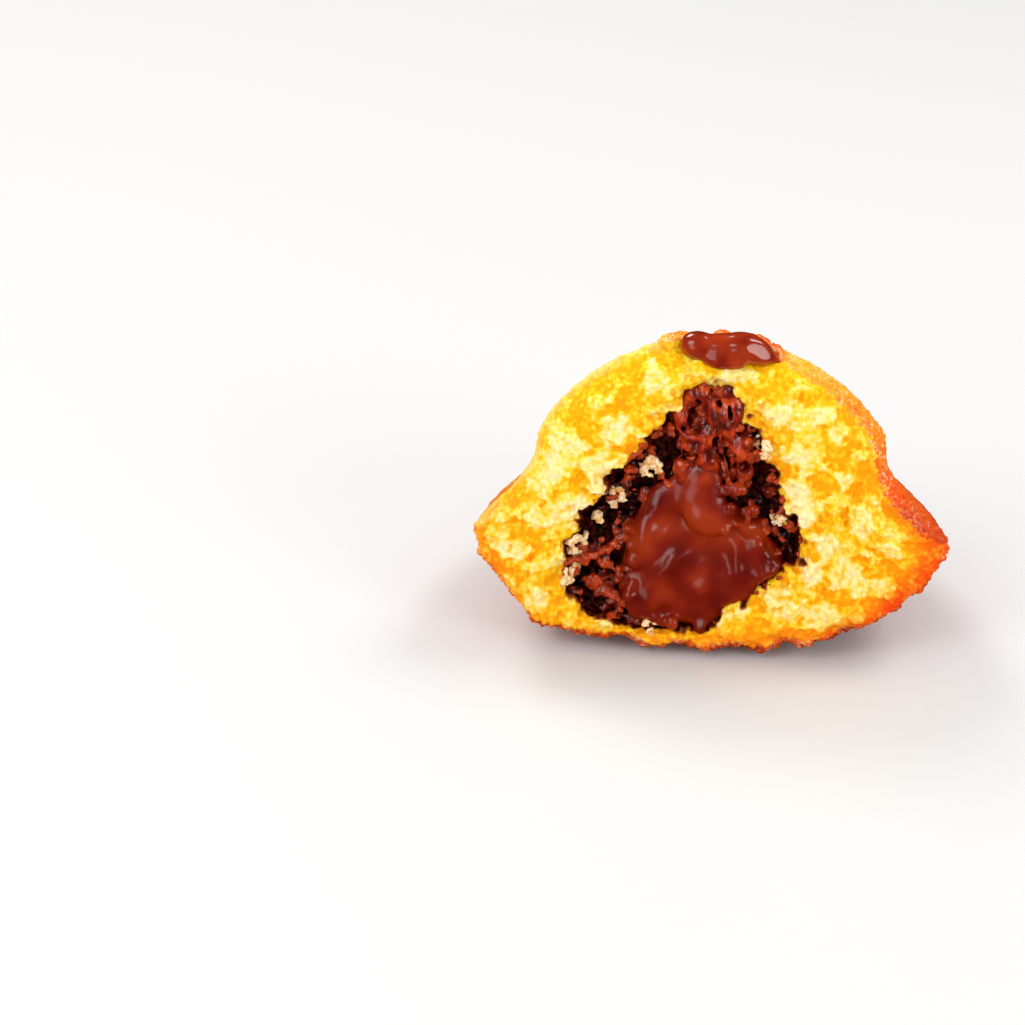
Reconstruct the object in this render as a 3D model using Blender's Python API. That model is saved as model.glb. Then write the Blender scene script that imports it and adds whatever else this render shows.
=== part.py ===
"""Half of a chocolate-filled madeleine, lying on its shell side with the cut to the front.

Frame of the finished part: metres, +Z up, +X to the right along the cut, +Y away from the cut
face, and the origin on the floor under the middle of the part.
Each piece is first shaped in the mould's frame, where the cut is the plane Y = 0, the rim lies
level and the deepest rib touches Z = 0. The half then leans back on its belly, as it does when
it is set down, and is moved to the origin.
"""

import math

import bmesh
import bpy
from mathutils import Vector, noise

# Driving dimensions of the cake, in metres.
HALF_WIDTH = 0.0250        # middle to rim along the cut
HALF_LENGTH = 0.0360       # cut to the far end of the shell
BELLY_DEPTH = 0.0130       # rim above the deepest rib
SHOULDER_RISE = 0.0078     # rim up to the foot of the hump
HUMP_RISE = 0.0127         # foot of the hump up to its top
HUMP_HALF_WIDTH = 0.0190
HUMP_HALF_LENGTH = 0.0240
RIB_PITCH = 0.0056         # from crest to crest, at the cut
RIB_DEPTH = 0.0009
SCALLOP_DEPTH = 0.0005     # how far a rib's end stands out at the rim
HINGE_DISTANCE = 0.0400    # the ribs fan out from this far in front of the cut
RIM_POWER = 2.15           # 2 is an ellipse, and more is squarer
UNEVENNESS = 0.0005        # the baker's hump is never quite even
LEAN = math.radians(9.3)
FLAT_RISE = 0.0006         # how far the soft belly flattens where it rests
GAP = 0.0003               # between pieces that touch
DOWN = Vector((0.0, math.sin(LEAN), -math.cos(LEAN)))
REACH = HALF_LENGTH * math.cos(LEAN) + BELLY_DEPTH * math.sin(LEAN)

# Resolution of the cake's two skins.
COLUMNS = 76
ROWS = 17
RIM_CROWDING = 1.6         # above 1, rows stand closer together towards the rim
SIDE_CROWDING = 0.35       # share by which columns stand closer together towards the sides

# Chocolate filling: a drop that stands in the middle of the cake and leans to one side.
FILLING_FOOT = 0.0021      # its lowest point above the deepest rib
FILLING_HEIGHT = 0.0262
FILLING_WIDTH = 0.0225     # across its belly, along the cut
FILLING_DEPTH = 0.0110     # how far it reaches back from the cut
FILLING_NECK = 0.0030      # radius of its blunt upper end
FILLING_CENTRE = 0.0006    # its neck is this far right of the middle
FILLING_SAG = 0.0037       # its belly is this far left of its neck
FILLING_BULGE = 0.0005     # how far it swells out of the cut
DROP_FULLNESS = 1.5        # above 1, the belly of the drop sits lower
FILLING_SEGMENTS = 40

# Chocolate on the hump, where the filling nozzle went in.
TOP_CENTRE = (0.0021, 0.0023)
TOP_HALF_SIZE = (0.0051, 0.0037, 0.0019)
TOP_SINK = 0.0004          # its middle is this far under the hump's skin
TOP_LUMPINESS = 0.16       # share of its radius
TOP_SEGMENTS = 28

CAKE_COLOUR = (0.86, 0.46, 0.10, 1.0)
FILLING_COLOUR = (0.13, 0.030, 0.014, 1.0)
TOP_COLOUR = (0.17, 0.040, 0.020, 1.0)


def clear_scene():
    for thing in list(bpy.data.objects):
        bpy.data.objects.remove(thing, do_unlink=True)


def new_collection(name):
    made = bpy.data.collections.new(name)
    bpy.context.scene.collection.children.link(made)
    return made


def plain_material(name, colour, roughness):
    material = bpy.data.materials.new(name)
    material.use_nodes = True
    shader = material.node_tree.nodes["Principled BSDF"]
    shader.inputs["Base Color"].default_value = colour
    shader.inputs["Roughness"].default_value = roughness
    shader.inputs["Metallic"].default_value = 0.0
    return material


def object_from(bm, name, collection, material=None):
    """Turns a bmesh into a named object, with its faces pointing out."""
    bmesh.ops.recalc_face_normals(bm, faces=bm.faces)
    mesh = bpy.data.meshes.new(name)
    bm.to_mesh(mesh)
    bm.free()
    made = bpy.data.objects.new(name, mesh)
    collection.objects.link(made)
    if material:
        mesh.materials.append(material)
    return made


def as_cutter(thing):
    thing.hide_render = True
    thing.display_type = "WIRE"
    return thing


def cut_away(thing, cutter):
    modifier = thing.modifiers.new("cut_" + cutter.name, "BOOLEAN")
    modifier.operation = "DIFFERENCE"
    modifier.solver = "EXACT"
    modifier.object = cutter


# ---------------------------------------------------------------- the cake's outer form


def fan_angle(x, y):
    """Angle of a plan point as seen from the hinge, where the ribs start."""
    return math.atan2(x, y + HINGE_DISTANCE)


def crest(angle):
    """1 on a rib's crest and 0 in the groove between two ribs."""
    pitch = RIB_PITCH / HINGE_DISTANCE
    return abs(math.cos(math.pi * angle / pitch)) ** 0.8


def rim_radius(direction):
    """Distance from the middle to the rim, for an angle from +X in the plan."""
    across = abs(math.cos(direction)) / HALF_WIDTH
    along = abs(math.sin(direction)) / HALF_LENGTH
    plain = (across**RIM_POWER + along**RIM_POWER) ** (-1 / RIM_POWER)
    tip = Vector((math.cos(direction), math.sin(direction))) * plain
    return plain - SCALLOP_DEPTH * (1 - crest(fan_angle(*tip))) * abs(math.sin(direction))


def rim_on_ray(angle):
    """The rim point that a rib's line from the hinge runs to, found by halving."""
    near, far = 0.0, HALF_LENGTH + HINGE_DISTANCE
    for _ in range(40):
        middle = (near + far) / 2
        point = Vector((math.sin(angle), math.cos(angle))) * middle
        point.y -= HINGE_DISTANCE
        inside = point.y < 0 or point.length < rim_radius(math.atan2(point.y, point.x))
        near, far = (middle, far) if inside else (near, middle)
    return point


def share_to_rim(x, y):
    """0 in the middle of the plan and 1 on the rim."""
    return min(1.0, math.hypot(x, y) / rim_radius(math.atan2(y, x)))


def top_height(x, y):
    """Height of the humped skin, which meets the rim."""
    share = share_to_rim(x, y)
    hump = math.hypot(x / HUMP_HALF_WIDTH, y / HUMP_HALF_LENGTH)
    foot_share = share / hump if hump > 0 else 0.0
    climb = min(1.0, (1 - share) / (1 - foot_share)) ** 0.9
    dome = max(0.0, 1 - hump**2.2) ** 0.72
    uneven = UNEVENNESS * noise.noise(Vector((x, y, 0.008)) * 95) * (1 - share**6)
    return BELLY_DEPTH + SHOULDER_RISE * climb + HUMP_RISE * dome + uneven


def belly_height(x, y):
    """Height of the ribbed shell skin."""
    share = share_to_rim(x, y)
    bowl = BELLY_DEPTH * (1 - (1 - share**2.6) ** 0.65)
    return bowl + RIB_DEPTH * (1 - crest(fan_angle(x, y))) * (1 - share**4)


def skin(height):
    """One skin of the half cake, as a grid whose columns follow the ribs."""
    bm = bmesh.new()
    bmesh.ops.create_grid(bm, x_segments=COLUMNS, y_segments=ROWS, size=1.0)
    widest = fan_angle(HALF_WIDTH, 0.0)
    for vertex in bm.verts:
        column, row = vertex.co.x, (vertex.co.y + 1) / 2
        angle = widest * (column + SIDE_CROWDING * math.sin(math.pi * column) / math.pi)
        start = Vector((HINGE_DISTANCE * math.tan(angle), 0.0))
        point = start.lerp(rim_on_ray(angle), 1 - (1 - row) ** RIM_CROWDING)
        vertex.co = (point.x, point.y, height(point.x, point.y))
    return bm


def half_body(collection, material):
    """The half cake without its hollows: both skins joined at the rim, closed at the cut."""
    bm = skin(top_height)
    lower = skin(belly_height)
    lower_mesh = bpy.data.meshes.new("lower_skin")
    lower.to_mesh(lower_mesh)
    lower.free()
    bm.from_mesh(lower_mesh)
    bpy.data.meshes.remove(lower_mesh)
    bmesh.ops.remove_doubles(bm, verts=bm.verts, dist=1e-5)
    bmesh.ops.holes_fill(bm, edges=[edge for edge in bm.edges if edge.is_boundary], sides=0)
    floor = max(vertex.co.dot(DOWN) for vertex in bm.verts) - FLAT_RISE
    everything = bm.verts[:] + bm.edges[:] + bm.faces[:]
    cut = bmesh.ops.bisect_plane(
        bm, geom=everything, dist=1e-6, plane_co=DOWN * floor, plane_no=DOWN, clear_outer=True
    )
    rests = [item for item in cut["geom_cut"] if isinstance(item, bmesh.types.BMEdge)]
    bmesh.ops.holes_fill(bm, edges=rests, sides=0)
    return object_from(bm, "cake_half", collection, material), floor


# ---------------------------------------------------------------- the chocolate


def filling_drop(grow, bulge):
    """A drop whose front is flattened to the given bulge and whose skin is pushed out by grow."""
    bm = bmesh.new()
    bmesh.ops.create_uvsphere(bm, u_segments=FILLING_SEGMENTS, v_segments=FILLING_SEGMENTS // 2, radius=1.0)
    widest = max(drop_radius(math.pi * step / 200) for step in range(201))
    for vertex in bm.verts:
        turn = math.acos(max(-1.0, min(1.0, vertex.co.z)))
        around = Vector((vertex.co.x, vertex.co.y))
        around = around.normalized() if around.length > 1e-6 else Vector((0.0, 0.0))
        share = (1 + math.cos(turn)) / 2
        belly = drop_radius(turn) / widest
        neck = math.sin(turn) ** 0.6
        wide = math.hypot(FILLING_WIDTH / 2 * belly, FILLING_NECK * neck)
        deep = math.hypot(FILLING_DEPTH * belly, FILLING_NECK * neck)
        vertex.co = (
            FILLING_CENTRE - FILLING_SAG * (1 - share) + wide * around.x,
            around.y * deep,
            FILLING_FOOT + FILLING_HEIGHT * share,
        )
    bm.normal_update()
    for vertex in bm.verts:
        vertex.co += vertex.normal * grow
        if vertex.co.y < 0:
            vertex.co.y *= bulge / FILLING_DEPTH
    return bm


def drop_radius(turn):
    """Radius of a drop of unit size, from its tip (turn 0) to its foot (turn pi)."""
    return math.sin(turn) * math.sin(turn / 2) ** DROP_FULLNESS


def top_blob(grow):
    """The lumpy drop of chocolate on the hump, with its skin pushed out by grow."""
    bm = bmesh.new()
    bmesh.ops.create_uvsphere(bm, u_segments=TOP_SEGMENTS, v_segments=TOP_SEGMENTS // 2, radius=1.0)
    middle = Vector((*TOP_CENTRE, top_height(*TOP_CENTRE) - TOP_SINK))
    for vertex in bm.verts:
        lump = noise.noise(vertex.co * 1.3 + Vector((2.0, 5.0, 1.0)))
        point = vertex.co * (1 + TOP_LUMPINESS * lump)
        point = Vector([side * half for side, half in zip(point, TOP_HALF_SIZE)])
        vertex.co = point + middle
    bm.normal_update()
    for vertex in bm.verts:
        vertex.co += vertex.normal * grow
    return bm


# ---------------------------------------------------------------- putting it together


def place(thing, floor):
    """Leans a piece back on its belly and sets it on the floor around the origin."""
    thing.rotation_euler = (-LEAN, 0.0, 0.0)
    thing.location = (0.0, -REACH / 2, floor)


clear_scene()
pieces = new_collection("madeleine_half")
cutters = new_collection("cutters")

cake, floor = half_body(pieces, plain_material("cake", CAKE_COLOUR, 0.75))
filling_material = plain_material("filling_chocolate", FILLING_COLOUR, 0.3)
filling = object_from(filling_drop(0.0, FILLING_BULGE), "chocolate_filling", pieces, filling_material)
top_material = plain_material("top_chocolate", TOP_COLOUR, 0.2)
top = object_from(top_blob(0.0), "chocolate_top", pieces, top_material)

hollow = as_cutter(object_from(filling_drop(GAP, FILLING_DEPTH), "filling_hollow", cutters))
seat = as_cutter(object_from(top_blob(GAP), "top_seat", cutters))
cut_away(cake, hollow)
cut_away(cake, seat)
for piece in (cake, filling, top, hollow, seat):
    place(piece, floor)
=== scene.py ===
"""Half of a chocolate-filled madeleine, pulled apart across its hump, on a pale floor."""

import math
import random

import bmesh
import bpy
import numpy as np
from mathutils import Matrix, Vector, noise
from mathutils.bvhtree import BVHTree


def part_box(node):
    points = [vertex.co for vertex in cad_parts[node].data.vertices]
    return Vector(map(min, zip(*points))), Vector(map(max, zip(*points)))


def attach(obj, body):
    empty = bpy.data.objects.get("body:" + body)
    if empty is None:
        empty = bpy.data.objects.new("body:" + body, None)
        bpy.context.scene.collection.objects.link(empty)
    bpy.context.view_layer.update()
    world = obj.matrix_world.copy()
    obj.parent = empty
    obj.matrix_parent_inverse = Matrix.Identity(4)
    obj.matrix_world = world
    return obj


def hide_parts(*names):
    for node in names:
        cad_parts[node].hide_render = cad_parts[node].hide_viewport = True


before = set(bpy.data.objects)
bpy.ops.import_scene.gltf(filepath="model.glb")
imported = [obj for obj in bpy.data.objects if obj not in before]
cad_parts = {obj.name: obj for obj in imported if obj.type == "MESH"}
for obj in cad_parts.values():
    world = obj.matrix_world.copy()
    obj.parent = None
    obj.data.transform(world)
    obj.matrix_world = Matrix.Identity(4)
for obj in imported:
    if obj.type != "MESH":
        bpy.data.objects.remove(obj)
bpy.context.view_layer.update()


# ---- Cake ----------------------------------------------------------------------------------
# Sponge baked in a shell tin: a loose, buttery crumb under a thin browned crust. It was pulled
# apart across its hump, so the crumb at the break stands up in ragged clumps.

MM = 0.001
LEAN = math.radians(9.3)          # the half leans back on its belly
FRONT_LIFT = 0.95 * MM            # the deepest rib at the break hangs this far above the floor
RIM_HEIGHT = 13.0 * MM            # of the shell's rim above its deepest rib
CROWN_HEIGHT = 33.5 * MM
HALF_WIDTH = 25.0 * MM

mould_origin = Vector((0.0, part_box("cake_half")[0].y, FRONT_LIFT))
from_mould = Matrix.Translation(mould_origin) @ Matrix.Rotation(-LEAN, 4, "X")
to_mould = from_mould.inverted()


def merged_copy(node):
    """A CAD node's shape in the mould's frame: the break is the plane y = 0, z is up."""
    bm = bmesh.new()
    bm.from_mesh(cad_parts[node].data)
    bmesh.ops.remove_doubles(bm, verts=bm.verts, dist=1e-6)
    bm.transform(to_mould)
    return bm


def swollen(bm, amount):
    """Pushes a closed skin out along its normals."""
    bm.normal_update()
    for vertex in bm.verts:
        vertex.co += vertex.normal * amount
    return bm


def add_to(bm, other):
    """Joins another bmesh into bm, and frees it."""
    mesh = bpy.data.meshes.new("joining")
    other.to_mesh(mesh)
    other.free()
    bm.from_mesh(mesh)
    bpy.data.meshes.remove(mesh)


def through_modifiers(bm, *settings):
    """Runs a bmesh through modifiers, each given as a type and its settings."""
    mesh = bpy.data.meshes.new("working")
    bm.to_mesh(mesh)
    bm.free()
    working = bpy.data.objects.new("working", mesh)
    bpy.context.scene.collection.objects.link(working)
    if "thin" in mesh.attributes:
        group = working.vertex_groups.new(name="thin")
        values = np.zeros(len(mesh.vertices), np.float32)
        mesh.attributes["thin"].data.foreach_get("value", values)
        group.add([int(index) for index in np.flatnonzero(values > 0.5)], 1.0, "REPLACE")
    for kind, values in settings:
        modifier = working.modifiers.new(kind.lower(), kind)
        for name, value in values.items():
            setattr(modifier, name, value)
    evaluated = working.evaluated_get(bpy.context.evaluated_depsgraph_get())
    result = bmesh.new()
    result.from_mesh(evaluated.to_mesh())
    evaluated.to_mesh_clear()
    bpy.data.objects.remove(working)
    bpy.data.meshes.remove(mesh)
    return result


def fused(bm, voxel):
    """Melts overlapping closed forms into one skin of even small faces."""
    return through_modifiers(bm, ("REMESH", {"mode": "VOXEL", "voxel_size": voxel}))


def relaxed(bm, verts, rounds):
    """Lets a skin settle, as a soft thing does, the more the more rounds."""
    for _ in range(rounds):
        bmesh.ops.smooth_vert(
            bm, verts=verts, factor=0.5, use_axis_x=True, use_axis_y=True, use_axis_z=True
        )
    bm.normal_update()


def clamp(value, low=0.0, high=1.0):
    return max(low, min(high, value))


def smooth_step(start, end, value):
    share = clamp((value - start) / (end - start))
    return share * share * (3 - 2 * share)


def billow(point, size, seed):
    """Rounded bumps with sharp valleys between them, 0 to about 1."""
    return min(1.2, abs(noise.noise(point / size + Vector((seed, seed * 1.7, seed * 0.3)))) * 2.4)


def grains(point, size, seed):
    """Rounded grains side by side: 1 on a grain's top, and about 0 in the cracks between."""
    return 1 - 1.5 * noise.voronoi(point / size + Vector((seed, seed * 0.7, seed * 1.9)))[0][0]


def waves(point, size, seed):
    """Soft swells from about -1 to 1."""
    return noise.noise(point / size + Vector((seed * 1.3, seed, seed * 2.1))) * 1.6


# The drop-shaped hollow that the filling took.
DROP_FOOT = 2.1 * MM
DROP_HEIGHT = 27.2 * MM
DROP_WIDTH = 24.0 * MM
DROP_NECK = 4.0 * MM
DROP_CORNER = Vector((1.0, 3.1)) * MM       # its lower right side is cut off by a slope from here
DROP_SLOPE = Vector((0.76, 0.65))


def hollow_depth(x, z):
    """How far inside the hollow's edge a point of the break lies: negative outside it."""
    share = (z - DROP_FOOT) / DROP_HEIGHT
    inner = clamp(share, 0.002, 0.998)
    turn = math.acos(2 * inner - 1)
    belly = math.sin(turn) * math.sin(turn / 2) ** 1.5 / 0.703
    half = math.hypot(DROP_WIDTH / 2 * belly, DROP_NECK * math.sin(turn) ** 0.6)
    middle = -0.2 * MM - 3.6 * MM * (1 - inner)
    sideways = (half - abs(x - middle)) * 0.85
    ends = min(share, 1 - share) * DROP_HEIGHT * 1.3
    slope = DROP_SLOPE.cross(Vector((x, z)) - DROP_CORNER)
    return min(sideways, ends, slope)


def ragged_hollow(point):
    """How far inside the hollow's torn edge a point lies."""
    flat = Vector((point.x, 0.0, point.z))
    torn = 0.85 * waves(flat, 2.4 * MM, 5.0) + 0.50 * waves(flat, 0.9 * MM, 16.0)
    return hollow_depth(point.x, point.z) + torn * MM


def hump_height(x, y):
    """Height of the hump's skin near its crown."""
    dome = max(0.0, 1 - math.hypot(x / (19 * MM), y / (24 * MM)) ** 2.2) ** 0.72
    return CROWN_HEIGHT - 12.7 * MM * (1 - dome)


body = merged_copy("cake_half")
add_to(body, swollen(merged_copy("chocolate_filling"), 0.5 * MM))
seat = swollen(merged_copy("chocolate_top"), 0.6 * MM)
for vertex in seat.verts:
    vertex.co.z = min(vertex.co.z, hump_height(vertex.co.x, vertex.co.y))
add_to(body, seat)
for vertex in body.verts:
    vertex.co.y = max(vertex.co.y, 0.0)
body = fused(body, 0.36 * MM)
relaxed(body, body.verts, 1)
skin_faces = [
    face for face in body.faces
    if face.calc_center_median().y >= 0.5 * MM or face.normal.y >= -0.6
]
skin_verts = {
    vertex: number for number, vertex in enumerate({v for face in skin_faces for v in face.verts})
}
skin_tree = BVHTree.FromPolygons(
    [vertex.co.copy() for vertex in skin_verts],
    [[skin_verts[vertex] for vertex in face.verts] for face in skin_faces],
)


def from_skin(point):
    """Distance in from the outer skin; a point outside it, behind the break, has less than 0."""
    place, normal, _, distance = skin_tree.find_nearest(point)
    outside = point.y > 1.2 * MM and (point - place).dot(normal) > 0
    return -distance if outside else distance


def break_level(x, z, edge):
    """Where the crumb's middle level lies behind the plane of the break."""
    flat = Vector((x, 0.0, z))
    level = 0.55 * MM + 0.40 * MM * waves(flat, 9 * MM, 2.0)
    upper = smooth_step(12 * MM, 22 * MM, z)
    reach = (1.5 + 2.1 * upper) * MM
    level += (0.7 + 1.7 * upper) * MM * clamp(1 - edge / reach) ** 2
    level += 3.2 * MM * smooth_step(-0.3 * MM, 1.4 * MM, ragged_hollow(flat))
    return level


# The largest dry clumps: place, and half size across and up, in millimetres.
DRY_CLUMPS = (
    (14.6, 8.9, 1.7, 1.6), (16.3, 15.4, 1.5, 1.9), (7.7, 26.4, 2.3, 1.2), (-16.9, 20.0, 1.8, 1.8),
    (-9.7, 24.1, 1.1, 1.4), (-14.7, 22.5, 1.9, 1.1), (-20.4, 10.9, 1.4, 1.0), (17.5, 7.9, 2.2, 1.0),
    (9.2, 5.5, 1.3, 1.1), (12.1, 4.6, 2.2, 1.3), (10.8, 9.8, 1.1, 1.2), (11.9, 12.9, 1.3, 1.5),
    (-12.3, 20.5, 1.4, 1.0), (-19.1, 18.5, 1.4, 1.3), (8.8, 18.6, 1.4, 1.2), (-18.6, 14.3, 1.9, 1.0),
    (-6.2, 29.8, 1.1, 1.6), (8.5, 22.4, 1.5, 1.0), (-16.2, 15.3, 1.9, 1.1), (9.6, 16.5, 1.3, 2.1),
    (12.7, 24.5, 0.9, 1.0), (-13.7, 16.0, 1.4, 1.1), (10.7, 26.4, 1.9, 0.9), (-17.7, 6.3, 1.4, 1.0),
    (-11.4, 17.9, 1.2, 0.8), (19.6, 12.2, 1.0, 0.9), (14.0, 19.6, 1.3, 0.9), (2.6, 30.4, 2.0, 0.7),
)


def crumb_patch(x, z):
    """1 where the crumb broke off in raised dry clumps, 0 in the hollows between them."""
    flat = Vector((x, 0.0, z * 1.2))
    scattered = smooth_step(-0.20, 0.90, waves(flat, 3.0 * MM, 7.0) + 0.6 * waves(flat, 1.3 * MM, 21.0))
    closest = min(
        math.hypot((x / MM - at_x) / wide, (z / MM - at_z) / tall) for at_x, at_z, wide, tall in DRY_CLUMPS
    )
    ragged = 0.40 * waves(flat, 1.1 * MM, 22.0)
    return clamp(0.62 * scattered + smooth_step(1.45, 0.65, closest + ragged))


def warped(point, reach, seed):
    """A point pushed about, so that grains come out uneven."""
    shift = Vector([waves(point, 1.1 * MM, seed + number) for number in range(3)])
    return point + shift * reach


def relief(x, z):
    """Height of the crumb's clumps over the middle level."""
    flat = warped(Vector((x, 0.0, z)), 0.30 * MM, 15.0)
    patch = crumb_patch(x, z)
    clumps = billow(flat, 3.6 * MM, 1.0) - 0.45
    lumps = grains(flat, 1.7 * MM, 3.0) - 0.35
    small = grains(flat, 0.85 * MM, 9.0) - 0.35
    height = 0.55 * clumps + (0.40 + 0.20 * patch) * lumps + (0.30 + 0.20 * patch) * small + 0.45 * patch
    return height * MM


# The edge of the break is ragged, more so under the rim, where bits of crust came away.
for vertex in body.verts:
    point = vertex.co
    torn = smooth_step(3.0 * MM, 0.3 * MM, point.y) * smooth_step(1.2 * MM, 0.3 * MM, from_skin(point))
    if torn > 0:
        out = Vector((vertex.normal.x, 0.0, vertex.normal.z))
        under = 0.45 + 0.40 * smooth_step(14 * MM, 9 * MM, point.z)
        ragged = 0.45 * waves(point, 2.4 * MM, 24.0) + 0.25 * waves(point, 1.1 * MM, 25.0) - 0.08
        vertex.co += out * torn * under * ragged * MM
for vertex in body.verts:
    x, y, z = vertex.co
    drawn_back = clamp((6 * MM - y) / (5.7 * MM))
    if drawn_back > 0:
        edge = from_skin(vertex.co) if y < 0.3 * MM else 0.0
        calm = smooth_step(0.1 * MM, 1.2 * MM, edge)
        vertex.co.y += (break_level(x, z, edge) - relief(x, z) * (0.4 + 0.6 * calm)) * drawn_back


def crumb_grain(bm, place, radius, seed):
    """One knobbly grain of crumb."""
    grain = bmesh.ops.create_icosphere(bm, subdivisions=2, radius=1.0)
    tall, wide = rng.uniform(0.7, 1.1), rng.uniform(0.8, 1.4)
    for vertex in grain["verts"]:
        knob = 1 + 0.42 * noise.noise(vertex.co * 1.9 + Vector((seed, 0.0, seed)))
        vertex.co = Vector((vertex.co.x * wide, vertex.co.y, vertex.co.z * tall)) * radius * knob + place


rng = random.Random(11)
clump_count = 0
while clump_count < 420:
    x = rng.uniform(-23, 23) * MM
    z = rng.uniform(1, 33) * MM
    spot = Vector((x, 0.0, z))
    hit = skin_tree.find_nearest(spot)
    inside = hit[3] > 1.3 * MM and (spot - hit[0]).dot(hit[1]) < 0
    if not inside or hollow_depth(x, z) > 0.7 * MM or crumb_patch(x, z) < 0.3:
        continue
    clump_count += 1
    reach = rng.uniform(0.35, 1.0) * MM
    clump = bmesh.new()
    for _ in range(rng.randint(4, 10)):
        turn = rng.uniform(0, 2 * math.pi)
        away = reach * math.sqrt(rng.random())
        at_x, at_z = x + away * math.cos(turn) * 1.3, z + away * math.sin(turn) * 0.8
        edge = from_skin(Vector((at_x, 0.0, at_z)))
        if edge < 0.9 * MM or hollow_depth(at_x, at_z) > 1.1 * MM:
            continue
        radius = rng.uniform(0.17, 0.36) * MM
        level = break_level(at_x, at_z, edge) - relief(at_x, at_z)
        rise = (1 - away / reach) * 0.45 * MM * rng.uniform(0.2, 1.0)
        crumb_grain(clump, Vector((at_x, level - rise + 0.12 * radius, at_z)), radius, clump_count * 1.7)
    add_to(body, clump)

# The crust cracked up round the hole where the nozzle went in.
for centre, half_size, tilt in (
    ((-4.6, 2.6, 33.4), (1.4, 1.2, 0.65), -8), ((-3.4, 4.6, 33.3), (1.2, 1.0, 0.5), 0),
    ((6.2, 2.9, 32.7), (0.9, 0.9, 0.5), 22), ((4.0, 5.4, 33.1), (1.8, 0.8, 0.5), 8),
    ((0.6, 4.6, 33.7), (0.9, 0.7, 0.5), 0),
):
    flake = Matrix.Translation(Vector(centre) * MM) @ Matrix.Rotation(math.radians(tilt), 4, "Y")
    flake = flake @ Matrix.Diagonal((*[half * MM for half in half_size], 1.0))
    cracked = bmesh.new()
    bmesh.ops.create_icosphere(cracked, subdivisions=3, radius=1.0)
    for vertex in cracked.verts:
        knob = 1 + 0.45 * noise.noise(vertex.co * 2.3 + Vector(centre))
        vertex.co = flake @ (vertex.co * knob)
    add_to(body, cracked)

body = fused(body, 0.20 * MM)

# Grains that touch nothing fell off.
body.verts.ensure_lookup_table()
held = set()
border = [max(body.verts, key=lambda vertex: vertex.co.y)]
while border:
    held.update(border)
    border = list({edge.other_vert(vertex) for vertex in border for edge in vertex.link_edges} - held)
bmesh.ops.delete(body, geom=[vertex for vertex in body.verts if vertex not in held], context="VERTS")

# Away from the break the skin is smooth, and needs fewer faces.
MOST_TRIANGLES = 192000
thin = body.verts.layers.float.new("thin")
for vertex in body.verts:
    vertex[thin] = float(vertex.co.y > 2.6 * MM and from_skin(vertex.co) < 0.5 * MM)
triangles = sum(len(face.verts) - 2 for face in body.faces)
body = through_modifiers(body, ("DECIMATE", {"ratio": MOST_TRIANGLES / triangles, "vertex_group": "thin"}))

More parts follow.
